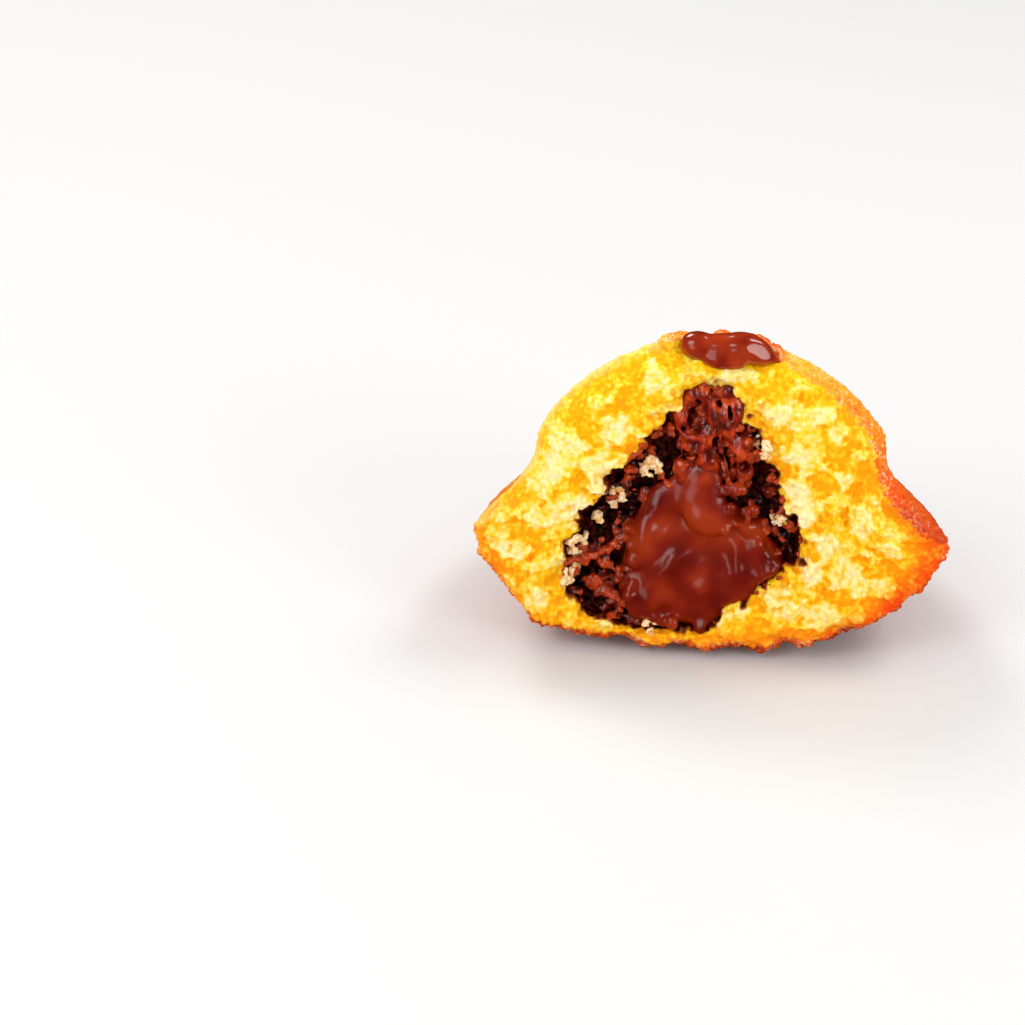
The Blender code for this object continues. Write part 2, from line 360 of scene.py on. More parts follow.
crumb_layer = body.verts.layers.float.new("crumb")      # 1 in the crumb, 0 on the crust
pale_and_crack_shade_layer = body.verts.layers.float.new("pale")        # 1 on raised dry crumbs and grain tops, 0 in pits and cracks; partly painted shade
toast_layer = body.verts.layers.float.new("toast")      # 1 where the crumb is orange, not yellow
soak_layer = body.verts.layers.float.new("soak")        # 1 where chocolate has soaked in
bake_layer = body.verts.layers.float.new("bake")        # 1 where the tin browned the most
body.normal_update()
moved = []
for vertex in body.verts:
    point = vertex.co
    depth = from_skin(point)
    side, tall = point.x / HALF_WIDTH, point.z / CROWN_HEIGHT
    band = 0.16 + (0.25 + 0.75 * smooth_step(0.1, 0.6, side)) * smooth_step(0.34, 0.44, tall)
    band = (band + 0.50 * smooth_step(0.20, 0.05, tall)) * MM
    frayed = 0.30 * waves(point, 1.1 * MM, 4.0) + 0.30 * waves(point, 0.5 * MM, 29.0)
    crumb = smooth_step(band - 0.1 * MM, band + 0.3 * MM, depth + frayed * clamp(band / MM) * MM)
    torn_skin = smooth_step(3.6 * MM, 2.2 * MM, point.y) * smooth_step(0.36, 0.50, tall)
    crumb = max(crumb, torn_skin * smooth_step(0.20, -0.15, side + 0.12 * waves(point, 2 * MM, 27.0)))
    patch = crumb_patch(point.x, point.z)
    level = break_level(point.x, point.z, max(depth, 0.0))
    nozzle = Vector((point.x - 1.0 * MM, (point.y - 2.6 * MM) * 1.2, (point.z - 33.4 * MM) * 1.6)).length
    flake = smooth_step(7.6 * MM, 6.6 * MM, nozzle)
    flake *= smooth_step(0.15 * MM, 0.45 * MM, point.z - hump_height(point.x, point.y))
    crumb *= 1 - flake
    height = clamp(0.5 + (level - point.y) / (1.8 * MM))
    grain = grains(warped(point, 0.10 * MM, 35.0), 0.60 * MM, 12.0) - 0.35
    near_crust = smooth_step(3.6 * MM, 0.3 * MM, depth)
    vertex[crumb_layer] = crumb
    torn = ragged_hollow(point)
    near_hollow = smooth_step(-3.2 * MM, -0.6 * MM, torn)
    # Painted shade: paler on raised clumps and grain tops, a deeper yellow in the pits and cracks between
    # them.
    pale = 0.38 + 0.56 * (patch - 0.35) + 0.42 * (height - 0.5) + 0.40 * grain + 0.14 * near_hollow
    pale = clamp(pale) * (1 - 0.4 * near_crust * clamp(0.6 + side))
    vertex[pale_and_crack_shade_layer] = pale * smooth_step(8 * MM, 3 * MM, point.y)
    toast = clamp(0.42 + 0.30 * side + 0.55 * (0.5 - tall) + 0.12 * waves(point, 4 * MM, 18.0), 0.0, 0.9)
    toast += 1.1 * near_crust * clamp(0.35 + 0.35 * side + 0.70 * side**4 + 0.8 * (0.35 - tall))
    toast += (0.30 - 0.20 * side) * smooth_step(0.50, 0.95, abs(side))
    toast += 0.60 * smooth_step(-2.0 * MM, -0.1 * MM, torn) * smooth_step(17 * MM, 21 * MM, point.z)
    vertex[toast_layer] = clamp(toast, 0.0, 2.0) / 2
    soak = smooth_step(0.05 * MM, 0.50 * MM, torn)
    # Near the hollow the cracks between grains take some stain colour: partly chocolate stain, partly
    # painted shade.
    crack_stain_and_shade = near_hollow * smooth_step(-0.35, -0.60, grain + 0.6 * waves(point, 1.0 * MM, 26.0))
    vertex[soak_layer] = max(soak, 0.10 * crack_stain_and_shade) * smooth_step(7 * MM, 5 * MM, point.y)
    rise = (point.z - RIM_HEIGHT) / (CROWN_HEIGHT - RIM_HEIGHT)
    if rise > 0:
        bake = 0.62 - 0.44 * clamp(rise) ** 0.7 + 0.18 * side
        near_break = smooth_step(9 * MM, 2 * MM, point.y)
        bake -= 0.26 * near_break * smooth_step(0.45, -0.15, side)
    else:
        bake = 0.60 + 0.08 * side + 0.22 * clamp(-rise * 2.0)
        bake -= 0.34 * smooth_step(1.4 * MM, 0.4 * MM, point.y) * smooth_step(-0.6 * MM, 3 * MM, point.z)
    bake += 0.34 * smooth_step(7.6 * MM, 5.6 * MM, nozzle) + 0.12 * flake
    vertex[bake_layer] = clamp(bake + 0.07 * waves(point, 6 * MM, 8.0))
    fine = grains(point, 0.42 * MM, 39.0) - 0.35
    close = 0.25 + 0.75 * smooth_step(4.2 * MM, 2.6 * MM, point.y)
    on_crumb = (0.16 + 0.08 * patch) * grain + 0.09 * fine
    on_crust = close * (0.32 * grain + 0.26 * fine) + 0.10 * (billow(point, 1.4 * MM, 14.0) - 0.45)
    moved.append(point + vertex.normal * MM * (crumb * on_crumb + (1 - crumb) * on_crust))
for vertex, point in zip(body.verts, moved):
    vertex.co = point


# Near the break the cake shrank or sagged unevenly: place, reach and shift, across and up, in
# millimetres.
SAGS = (
    (-17.5, 2.5, 8.0, -0.5, -1.6), (-21.0, 17.0, 8.0, 1.3, -0.2), (20.3, 17.4, 8.5, -1.5, -0.3),
)


def finished(bm, name, material):
    """Brings a shape from the mould's frame to where it rests, as a smooth-shaded piece."""
    for vertex in bm.verts:
        x, y, z = vertex.co / MM
        near_break = smooth_step(24, 7, y)
        for at_x, at_z, reach, across, up in SAGS:
            share = near_break * smooth_step(reach, 0, math.hypot(x - at_x, z - at_z))
            vertex.co += Vector((across, 0.0, up)) * share * MM
    bm.transform(from_mould)
    for vertex in bm.verts:
        vertex.co.z = max(vertex.co.z, 0.0)
    for face in bm.faces:
        face.smooth = True
    mesh = bpy.data.meshes.new(name)
    bm.to_mesh(mesh)
    bm.free()
    mesh.materials.append(material)
    piece = bpy.data.objects.new(name, mesh)
    bpy.context.scene.collection.objects.link(piece)
    return piece


def add_node(tree, kind, inputs=None, **settings):
    """Adds a node; an input is a value or another node's socket."""
    made = tree.nodes.new(kind)
    for name, value in settings.items():
        setattr(made, name, value)
    for name, value in (inputs or {}).items():
        if isinstance(value, bpy.types.NodeSocket):
            tree.links.new(value, made.inputs[name])
        else:
            made.inputs[name].default_value = value
    return made


def math_node(tree, operation, first, second=0.0, third=0.0, clamped=False):
    inputs = {0: first, 1: second, 2: third}
    return add_node(tree, "ShaderNodeMath", inputs, operation=operation, use_clamp=clamped).outputs[0]


def mix_colour(tree, share, first, second, blend="MIX"):
    inputs = {0: share, 6: first, 7: second}
    return add_node(tree, "ShaderNodeMix", inputs, data_type="RGBA", blend_type=blend).outputs[2]


def colour_ramp(tree, share, stops):
    """A colour for each share; stops are (share, (red, green, blue))."""
    made = add_node(tree, "ShaderNodeValToRGB", {"Fac": share})
    elements = made.color_ramp.elements
    while len(elements) < len(stops):
        elements.new(0.5)
    for element, (place, colour) in zip(elements, stops):
        element.position = place
        element.color = (*colour, 1.0)
    return made.outputs["Color"]


def noise_node(tree, places, size, detail=2.0, roughness=0.5):
    """Noise whose lumps are about size metres across."""
    inputs = {"Vector": places, "Scale": 1.0 / size, "Detail": detail, "Roughness": roughness}
    return add_node(tree, "ShaderNodeTexNoise", inputs).outputs["Fac"]


def attribute(tree, name):
    return add_node(tree, "ShaderNodeAttribute", attribute_name=name).outputs["Fac"]


def new_material(name):
    material = bpy.data.materials.new(name)
    material.use_nodes = True
    tree = material.node_tree
    places = add_node(tree, "ShaderNodeTexCoord").outputs["Object"]
    return material, tree, tree.nodes["Principled BSDF"], places


# Fine bumps that every finish here has: grain on the sponge, ripples on the chocolate.
fine_bumps = bpy.data.node_groups.new("fine_bumps", "ShaderNodeTree")
for kind, socket in (("Vector", "Places"), ("Float", "Scale"), ("Float", "Amount"), ("Float", "Strength")):
    fine_bumps.interface.new_socket(socket, in_out="INPUT", socket_type="NodeSocket" + kind)
fine_bumps.interface.new_socket("Normal", in_out="OUTPUT", socket_type="NodeSocketVector")
entry = add_node(fine_bumps, "NodeGroupInput").outputs
inputs = {"Vector": entry["Places"], "Scale": entry["Scale"], "Detail": 2.0}
height = add_node(fine_bumps, "ShaderNodeTexNoise", inputs).outputs["Fac"]
height = math_node(fine_bumps, "MULTIPLY", height, entry["Amount"])
inputs = {"Strength": entry["Strength"], "Distance": 0.1 * MM, "Height": height}
bumpy = add_node(fine_bumps, "ShaderNodeBump", inputs).outputs["Normal"]
add_node(fine_bumps, "NodeGroupOutput", {"Normal": bumpy})


def roughen(tree, places, shader, size, strength, amount=1.0):
    """Gives a material bumps about size metres across."""
    inputs = {"Places": places, "Scale": 1.0 / size, "Amount": amount, "Strength": strength}
    bumps = add_node(tree, "ShaderNodeGroup", inputs, node_tree=fine_bumps)
    tree.links.new(bumps.outputs["Normal"], shader.inputs["Normal"])


cake_material, tree, shader, places = new_material("sponge_and_crust")
crumb = attribute(tree, "crumb")
soak = attribute(tree, "soak")
toast = attribute(tree, "toast")
# The crumb: pale where it is dry and raised, deep yellow or orange in the pits, which is partly painted
# shade.
pale = attribute(tree, "pale")
speckles = noise_node(tree, places, 0.55 * MM, 3.0, 0.6)
blotches = noise_node(tree, places, 2.2 * MM, 2.0)
tone = math_node(tree, "ADD", speckles, pale)
tone = math_node(tree, "MULTIPLY_ADD", blotches, 0.9, tone)
tone = math_node(tree, "MULTIPLY_ADD", tone, 0.8, -0.74, clamped=True)
yellow = colour_ramp(tree, tone, [
    (0.06, (0.95, 0.46, 0.001)),
    (0.26, (0.97, 0.61, 0.006)),
    (0.46, (0.98, 0.72, 0.10)),
    (0.70, (0.98, 0.80, 0.33)),
    (1.00, (0.98, 0.80, 0.49)),
])
orange = colour_ramp(tree, tone, [
    (0.06, (0.93, 0.31, 0.001)),
    (0.26, (0.96, 0.46, 0.003)),
    (0.46, (0.97, 0.60, 0.050)),
    (0.70, (0.98, 0.72, 0.26)),
    (1.00, (0.98, 0.75, 0.42)),
])
crumb_colour = mix_colour(tree, math_node(tree, "MULTIPLY", toast, 2.0, clamped=True), yellow, orange)
scorched = math_node(tree, "MULTIPLY_ADD", toast, 2.0, -1.0, clamped=True)
red = colour_ramp(tree, tone, [
    (0.08, (0.82, 0.06, 0.001)),
    (0.36, (0.93, 0.20, 0.003)),
    (0.66, (0.96, 0.40, 0.06)),
    (1.00, (0.97, 0.62, 0.28)),
])
crumb_colour = mix_colour(tree, scorched, crumb_colour, red)
# The crust: pale gold on the crown, orange down the sides, red-brown at the rim and under.
mottling = noise_node(tree, places, 0.9 * MM, 4.0, 0.65)
browned = math_node(tree, "MULTIPLY_ADD", mottling, 0.36, attribute(tree, "bake"))
browned = math_node(tree, "SUBTRACT", browned, 0.18, clamped=True)
crust_colour = colour_ramp(tree, browned, [
    (0.04, (0.97, 0.68, 0.18)),
    (0.20, (0.96, 0.46, 0.02)),
    (0.44, (0.94, 0.23, 0.003)),
    (0.62, (0.82, 0.09, 0.001)),
    (0.80, (0.48, 0.04, 0.002)),
    (0.96, (0.22, 0.012, 0.002)),
])
# Fine pale dry grains lie on it in drifts, and most of them by the break; they are partly painted glints.
dry_grains_and_glints = noise_node(tree, places, 0.34 * MM, 2.0, 0.6)
drifts = noise_node(tree, places, 2.8 * MM, 2.0)
drifts = math_node(tree, "MULTIPLY_ADD", drifts, 4.0, -6.5)
drifts = math_node(tree, "MULTIPLY_ADD", pale, 1.5, drifts)
dry_grains_and_glints = math_node(tree, "MULTIPLY_ADD", dry_grains_and_glints, 8.0, drifts, clamped=True)
dry_grains_and_glints = math_node(tree, "MULTIPLY", dry_grains_and_glints, math_node(tree, "MULTIPLY_ADD", pale, 0.7, 0.46, clamped=True))
dry_grain_and_glint_colour = colour_ramp(tree, browned, [
    (0.10, (0.98, 0.84, 0.50)),
    (0.50, (0.98, 0.66, 0.36)),
    (0.85, (0.70, 0.22, 0.08)),
])
crust_colour = mix_colour(tree, dry_grains_and_glints, crust_colour, dry_grain_and_glint_colour)
colour = mix_colour(tree, crumb, crust_colour, crumb_colour)
stained = math_node(tree, "MULTIPLY", soak, 2.6, clamped=True)
colour = mix_colour(tree, stained, colour, (0.42, 0.10, 0.006, 1.0))
# Deep in the hollow the soaked crumb is painted down to near-black: partly the chocolate stain, partly
# painted shade in the holes between the lumps.
wet_and_hole_shade = colour_ramp(tree, speckles, [(0.42, (0.004, 0.001, 0.0005)), (0.68, (0.13, 0.008, 0.002))])
drenched_and_hole_shade = math_node(tree, "MULTIPLY_ADD", soak, 2.0, -0.8, clamped=True)
colour = mix_colour(tree, drenched_and_hole_shade, colour, wet_and_hole_shade)
tree.links.new(colour, shader.inputs["Base Color"])
rough = math_node(tree, "MULTIPLY_ADD", crumb, 0.35, 0.42)
rough = math_node(tree, "MULTIPLY_ADD", soak, -0.40, rough)
tree.links.new(rough, shader.inputs["Roughness"])
buttered = math_node(tree, "MULTIPLY_ADD", crumb, -0.18, 0.18, clamped=True)
tree.links.new(buttered, shader.inputs["Coat Weight"])
coarser = math_node(tree, "MULTIPLY_ADD", crumb, -2.9, 4.1)
roughen(tree, places, shader, 0.30 * MM, 0.7, coarser)
shader.inputs["Subsurface Weight"].default_value = 0.55
shader.inputs["Subsurface Radius"].default_value = (1.0, 0.72, 0.30)
shader.inputs["Subsurface Scale"].default_value = 1.2 * MM
shader.inputs["Specular IOR Level"].default_value = 0.12
shader.inputs["Coat Roughness"].default_value = 0.24

cake = finished(body, "cake", cake_material)
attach(cake, "root")
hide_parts("cake_half")


# ---- Crumb soaked with chocolate -----------------------------------------------------------
# The filling was piped in warm, so it soaked the sponge round its hollow. There the crumb broke
# into small wet lumps. The near-black in the holes between them, and on the lumps that lie
# deeper, is painted shade.

rng = random.Random(23)

# Dark holes that no lump fills: place, and half size across and up, in millimetres.
GAPS = (
    (-4.6, 21.4, 1.3, 2.5), (-7.0, 18.4, 1.2, 0.9), (-9.8, 15.1, 1.3, 0.8), (-7.3, 14.2, 0.7, 1.5),
    (-12.6, 12.4, 1.2, 1.0), (-9.1, 10.4, 0.6, 1.3), (-13.0, 8.3, 0.9, 0.7), (5.0, 19.0, 1.1, 2.6),
    (3.3, 16.2, 0.7, 0.9), (6.9, 14.7, 0.8, 0.8), (-2.6, 2.9, 0.9, 0.5), (2.4, 4.5, 1.5, 0.5),
)


# The smooth pool's middle, and half its width and height, in millimetres.
POOL_X, POOL_Z, POOL_WIDE, POOL_TALL = -1.3, 9.4, 7.4, 6.9


def in_pool(x, z):
    """Below 1 where the smooth pool lies, and 1 on its edge."""
    return math.hypot((x / MM - POOL_X) / POOL_WIDE, (z / MM - POOL_Z) / POOL_TALL)


def in_gap(x, z):
    """Below 1 inside one of the dark holes."""
    ragged = 0.25 * waves(Vector((x, 0.0, z)), 0.9 * MM, 28.0)
    return ragged + min(
        math.hypot((x / MM - at_x) / wide, (z / MM - at_z) / tall) for at_x, at_z, wide, tall in GAPS
    )


lining = bmesh.new()
handful = bmesh.new()
lump_count = 0
while lump_count < 600:
    x = rng.uniform(-17, 11) * MM
    z = rng.uniform(0.8, 29.5) * MM
    inside = hollow_depth(x, z)
    if inside < 0.1 * MM or in_pool(x, z) < rng.uniform(0.84, 0.98) or in_gap(x, z) < 1.0:
        continue
    lump_count += 1
    radius = rng.uniform(0.22, 0.45 + 0.40 * smooth_step(0.2 * MM, 1.6 * MM, inside)) * MM
    level = break_level(x, z, 9 * MM)
    rise = rng.uniform(-0.4, 1.9) * MM * smooth_step(0.2 * MM, 1.6 * MM, inside)
    crumb_grain(handful, Vector((x, level - rise, z)), radius, lump_count * 2.3)
    if lump_count % 20 == 0:
        add_to(lining, handful)
        handful = bmesh.new()
add_to(lining, handful)
lining = fused(lining, 0.14 * MM)
relaxed(lining, lining.verts, 3)
for vertex in lining.verts:
    vertex.co += vertex.normal * 0.26 * MM * (grains(vertex.co, 0.70 * MM, 31.0) - 0.35)
# Painted shade: lumps that lie deeper behind the break are marked to be painted darker.
depth_shade_layer = lining.verts.layers.float.new("front")
for vertex in lining.verts:
    vertex[depth_shade_layer] = smooth_step(3.3 * MM, 1.2 * MM, vertex.co.y)

soaked_material, tree, shader, places = new_material("soaked_crumb")
lumps = noise_node(tree, places, 1.1 * MM, 2.0)
# Painted shade: near-black on the deeper lumps, red-brown on those in front.
lit = math_node(tree, "MULTIPLY_ADD", attribute(tree, "front"), 0.45, lumps)
colour = colour_ramp(tree, lit, [
    (0.48, (0.005, 0.0005, 0.0003)),
    (0.70, (0.11, 0.004, 0.0008)),
    (0.96, (0.42, 0.040, 0.005)),
])
tree.links.new(colour, shader.inputs["Base Color"])
roughen(tree, places, shader, 0.4 * MM, 0.4)
shader.inputs["Roughness"].default_value = 0.30
shader.inputs["Specular IOR Level"].default_value = 0.25
shader.inputs["Coat Weight"].default_value = 0.60
shader.inputs["Coat Roughness"].default_value = 0.06
lining = finished(lining, "soaked_crumb", soaked_material)
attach(lining, "root")


# ---- Chocolate filling ---------------------------------------------------------------------
# Soft milk-chocolate cream that stayed runny. It fills the hollow as a smooth pool, and was
# drawn into strands and a hanging tongue at the neck when the cake was pulled apart.


def ellipsoid(bm, centre, size, tilt=0.0):
    """A smooth lump; its centre and half sizes are in millimetres, its tilt in degrees."""
    place = Matrix.Translation(Vector(centre) * MM) @ Matrix.Rotation(math.radians(tilt), 4, "Y")
    stretch = Matrix.Diagonal((*[half * MM for half in size], 1.0))
    bmesh.ops.create_icosphere(bm, subdivisions=3, radius=1.0, matrix=place @ stretch)


def strand(bm, points, start, end):
    """A drawn thread through the points, with its thickness going from start to end."""
    spots = [Vector(point) for point in points]
    steps = 9
    total = steps * (len(spots) - 1)
    thread = bmesh.new()
    for number in range(total + 1):
        part, within = divmod(number, steps)
        share = within / steps
        before = spots[max(part - 1, 0)]
        here = spots[part]
        there = spots[min(part + 1, len(spots) - 1)]
        after = spots[min(part + 2, len(spots) - 1)]
        leaving = (there - before) * 0.5 * share * (1 - share) ** 2
        bend = leaving - (after - here) * 0.5 * share**2 * (1 - share)
        place = here.lerp(there, share * share * (3 - 2 * share)) + bend
        thick = start + (end - start) * number / total
        waist = 1 + 0.12 * math.sin(number * 1.9)
        move = Matrix.Translation(place * MM)
        bmesh.ops.create_icosphere(thread, subdivisions=2, radius=thick * waist * MM, matrix=move)
    add_to(bm, thread)


# The pool settled smooth.
pool = bmesh.new()
for centre, half_size, tilt in (
    ((-1.2, 3.0, 9.2), (8.4, 2.4, 7.0), 0), ((-5.6, 2.7, 6.6), (4.2, 1.8, 3.6), 0),
    ((4.6, 2.8, 9.8), (3.2, 1.7, 3.6), 0), ((-2.6, 2.8, 4.6), (4.6, 1.5, 2.2), 0),
    ((-6.0, 2.3, 11.6), (2.6, 1.7, 4.4), 8), ((4.4, 2.2, 10.4), (1.9, 1.6, 3.6), 6),
    ((-5.0, 2.2, 16.0), (2.2, 1.5, 2.6), 30), ((-1.6, 2.0, 17.6), (3.2, 1.5, 3.0), 0),
):
    ellipsoid(pool, centre, half_size, tilt)
pool = fused(pool, 0.20 * MM)
relaxed(pool, pool.verts, 30)


def from_spot(point, x, z, tilt):
    """How far a point is from a spot, across and along its tilt, in millimetres."""
    turn = math.radians(tilt)
    side, up = point.x / MM - x, point.z / MM - z
    return side * math.cos(turn) - up * math.sin(turn), side * math.sin(turn) + up * math.cos(turn)


# Soft folds in it: place, half width and half length in millimetres, tilt, and height.
FOLDS = (
    (-6.9, 12.8, 1.1, 2.2, 12, 0.75), (-4.6, 9.2, 0.9, 3.4, 42, 0.70), (-6.0, 5.4, 1.0, 2.0, 60, 0.50),
    (-0.8, 7.0, 0.9, 2.2, 45, 0.45), (3.0, 9.8, 0.7, 2.8, -6, 0.65), (5.4, 8.8, 1.2, 1.2, 0, 0.50),
    (0.6, 11.0, 2.2, 1.8, 0, -0.70), (-2.2, 12.2, 1.0, 1.4, 30, -0.35),
)
for vertex in pool.verts:
    swell = waves(vertex.co, 4.0 * MM, 41.0) * 0.25 + waves(vertex.co, 1.8 * MM, 44.0) * 0.10
    for x, z, wide, tall, tilt, height in FOLDS:
        across, along = from_spot(vertex.co, x, z, tilt)
        swell += height * math.exp(-((across / wide) ** 2 + (along / tall) ** 2))
    vertex.co += vertex.normal * swell * MM

# The tongue hangs over it from the neck, and ends in a rounded lip.
for centre, half_size, tilt in (
    ((-0.4, 1.5, 21.2), (1.2, 1.1, 2.8), 0), ((-0.9, 1.6, 18.6), (2.3, 1.2, 2.4), 0),
    ((-0.9, 1.4, 16.6), (2.7, 1.2, 2.4), 0), ((0.0, 1.1, 15.1), (2.7, 1.2, 2.2), 8),
):
    ellipsoid(pool, centre, half_size, tilt)
# Wet lumps stand half out of its edge.
for number in range(150):
    turn = rng.uniform(0, 2 * math.pi)
    away = rng.uniform(0.88, 1.12)
    x = POOL_X + POOL_WIDE * away * math.cos(turn)
    z = POOL_Z + POOL_TALL * away * math.sin(turn)
    under_tongue = z > 12.5 and -4.5 < x < 2.5
    if under_tongue or hollow_depth(x * MM, z * MM) < 0.4 * MM or in_gap(x * MM, z * MM) < 0.9:
        continue
    size = rng.uniform(0.35, 0.95)
    spot = (x, rng.uniform(1.2, 2.4), z)
    ellipsoid(pool, spot, (size, size, size * rng.uniform(0.8, 1.3)), rng.uniform(-40, 40))
pool = fused(pool, 0.17 * MM)
relaxed(pool, pool.verts, 5)
relaxed(pool, [vertex for vertex in pool.verts if vertex.co.z > 15.4 * MM], 12)

# The torn neck.
neck = bmesh.new()
for centre, half_size, tilt in (
    ((-1.0, 1.6, 28.0), (0.8, 0.9, 1.3), -8), ((1.6, 1.6, 28.2), (1.1, 0.9, 1.1), 10),
    ((2.7, 1.7, 28.6), (0.6, 0.4, 0.3), 0), ((-3.0, 1.9, 25.3), (1.2, 1.2, 1.9), -14),
    ((-1.6, 2.2, 25.6), (1.3, 1.0, 2.2), 0), ((0.3, 1.5, 25.8), (1.1, 1.1, 2.4), 0),
    ((2.0, 1.8, 25.4), (1.3, 1.2, 2.6), 8), ((-0.5, 1.3, 22.9), (0.9, 0.9, 2.4), 0),
    ((3.0, 1.5, 22.4), (1.3, 1.0, 1.8), -10), ((-2.4, 1.9, 22.6), (1.1, 1.0, 1.4), 10),
    ((3.4, 1.6, 19.8), (1.0, 1.0, 1.2), 10), ((-3.3, 1.9, 20.2), (0.8, 0.9, 1.2), 20),
    ((1.2, 1.9, 21.4), (1.2, 0.8, 2.0), 0), ((-2.2, 1.9, 27.7), (1.0, 0.9, 1.2), 0),
):
    ellipsoid(neck, centre, half_size, tilt)
strand(neck, [(-0.9, 1.0, 24.6), (-1.6, 0.8, 22.2), (-2.6, 1.0, 20.6), (-3.0, 1.3, 18.8)], 0.34, 0.50)
strand(neck, [(0.6, 0.8, 24.4), (0.9, 0.5, 21.8), (1.6, 0.6, 19.6), (1.9, 0.9, 18.0)], 0.34, 0.36)
strand(neck, [(-0.2, 0.4, 28.0), (0.0, 0.1, 26.6), (0.3, 0.1, 25.0), (-0.2, 0.3, 23.0)], 0.30, 0.46)
strand(neck, [(-3.6, 1.2, 24.4), (-2.6, 0.9, 23.6), (-1.6, 0.8, 23.4)], 0.30, 0.34)
neck = fused(neck, 0.15 * MM)
relaxed(neck, neck.verts, 4)

# Holes between the strands: place, half size across and up in millimetres, and tilt.
HOLES = (
    (-1.85, 25.8, 0.80, 1.30, 8), (-2.5, 21.3, 0.80, 0.55, 0), (0.55, 27.1, 0.28, 0.45, 0),
    (1.7, 26.0, 0.24, 0.70, -10), (0.3, 23.2, 0.34, 0.52, 0), (1.4, 21.9, 1.00, 0.52, 12),
    (1.3, 20.2, 0.46, 1.40, 14), (3.4, 20.4, 0.50, 0.70, 20), (-3.0, 24.2, 0.30, 0.36, 0),
    (2.6, 24.2, 0.24, 0.50, -20),
)
filling = pool
add_to(filling, neck)
# Wet lumps cling to the right side of the tongue.
for number in range(26):
    spot = (rng.uniform(1.0, 4.8), rng.uniform(0.4, 1.2), rng.uniform(13.6, 18.6))
    size = rng.uniform(0.28, 0.62)
    ellipsoid(filling, spot, (size, size * 0.9, size * rng.uniform(0.9, 1.4)), rng.uniform(-40, 40))
filling = fused(filling, 0.15 * MM)
relaxed(filling, filling.verts, 3)
# Marks the chocolate pushed back into the holes between the strands, for painted shade.
hole_shade_layer = filling.verts.layers.float.new("painted_hole_shade")
drawn_layer = filling.verts.layers.float.new("drawn")
tongue_layer = filling.verts.layers.float.new("tongue")
for vertex in filling.verts:
    vertex[drawn_layer] = smooth_step(18 * MM, 21.5 * MM, vertex.co.z)
    in_front = smooth_step(1.2 * MM, 0.4 * MM, vertex.co.y)
    vertex[tongue_layer] = in_front * smooth_step(13 * MM, 14.5 * MM, vertex.co.z)
    torn = smooth_step(17 * MM, 22 * MM, vertex.co.z)
    swell = waves(vertex.co, 1.2 * MM, 43.0) * 0.03 + torn * 0.08 * (billow(vertex.co, 1.3 * MM, 45.0) - 0.5)
    vertex.co += vertex.normal * swell * MM
    if vertex.normal.y > 0.3 or vertex.co.z < 18 * MM:
        continue
    for x, z, wide, tall, tilt in HOLES:
        across, along = from_spot(vertex.co, x, z, tilt)
        away = math.hypot(across / wide, along / tall) + 0.45 * waves(vertex.co, 0.8 * MM, 47.0)
        sunk = smooth_step(1.12, 0.78, away)
        vertex.co.y += 2.4 * sunk * MM
        vertex[hole_shade_layer] = max(vertex[hole_shade_layer], sunk)

filling_material, tree, shader, places = new_material("runny_chocolate")
swirls = noise_node(tree, places, 4.2 * MM, 1.5)
swirls = math_node(tree, "MULTIPLY_ADD", attribute(tree, "tongue"), 0.12, swirls)
colour = colour_ramp(tree, swirls, [
    (0.32, (0.12, 0.0025, 0.0001)),
    (0.50, (0.20, 0.008, 0.0005)),
    (0.68, (0.32, 0.026, 0.002)),
])
# The drawn chocolate is painted lighter orange-red where the noise makes it thin: partly its own colour,
# partly painted glow of light shining through it.
thin_glow_noise = noise_node(tree, places, 1.3 * MM, 2.0)
pulled_with_painted_glow = colour_ramp(tree, thin_glow_noise, [
    (0.34, (0.07, 0.002, 0.0004)),
    (0.48, (0.24, 0.009, 0.001)),
    (0.64, (0.56, 0.055, 0.006)),
])
colour = mix_colour(tree, attribute(tree, "drawn"), colour, pulled_with_painted_glow)
# Painted shade: the chocolate pushed back into the holes is painted near-black.
colour = mix_colour(tree, attribute(tree, "painted_hole_shade"), colour, (0.006, 0.001, 0.0005, 1.0))
tree.links.new(colour, shader.inputs["Base Color"])
roughen(tree, places, shader, 0.9 * MM, 0.10)
glossy = math_node(tree, "MULTIPLY_ADD", attribute(tree, "drawn"), 0.40, 0.50)
tree.links.new(glossy, shader.inputs["Coat Weight"])
shader.inputs["Roughness"].default_value = 0.28
shader.inputs["Specular IOR Level"].default_value = 0.20
shader.inputs["Coat Roughness"].default_value = 0.18
shader.inputs["Subsurface Weight"].default_value = 0.15
shader.inputs["Subsurface Radius"].default_value = (1.0, 0.35, 0.15)
shader.inputs["Subsurface Scale"].default_value = 0.8 * MM
filling = finished(filling, "runny_filling", filling_material)
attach(filling, "root")
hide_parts("chocolate_filling")


# ---- Chocolate on top ----------------------------------------------------------------------
# A drop of the same cream over the hole where the nozzle went in. It set with a skin, so it is
# glossier, and its lip hangs over the break in front.

top = bmesh.new()
for centre, half_size, tilt in (
    ((-1.7, 1.8, 33.0), (2.1, 1.7, 1.65), 4), ((0.6, 1.9, 32.9), (2.9, 1.9, 1.60), 0),
    ((2.6, 1.8, 33.0), (2.8, 1.9, 1.65), 4), ((4.3, 1.7, 32.6), (2.0, 1.6, 1.40), 28),
    ((0.8, 0.9, 32.0), (2.6, 1.0, 1.30), 6), ((5.8, 1.6, 32.0), (1.2, 0.7, 0.45), 24),
):
    ellipsoid(top, centre, half_size, tilt)
top = fused(top, 0.13 * MM)
relaxed(top, top.verts, 24)
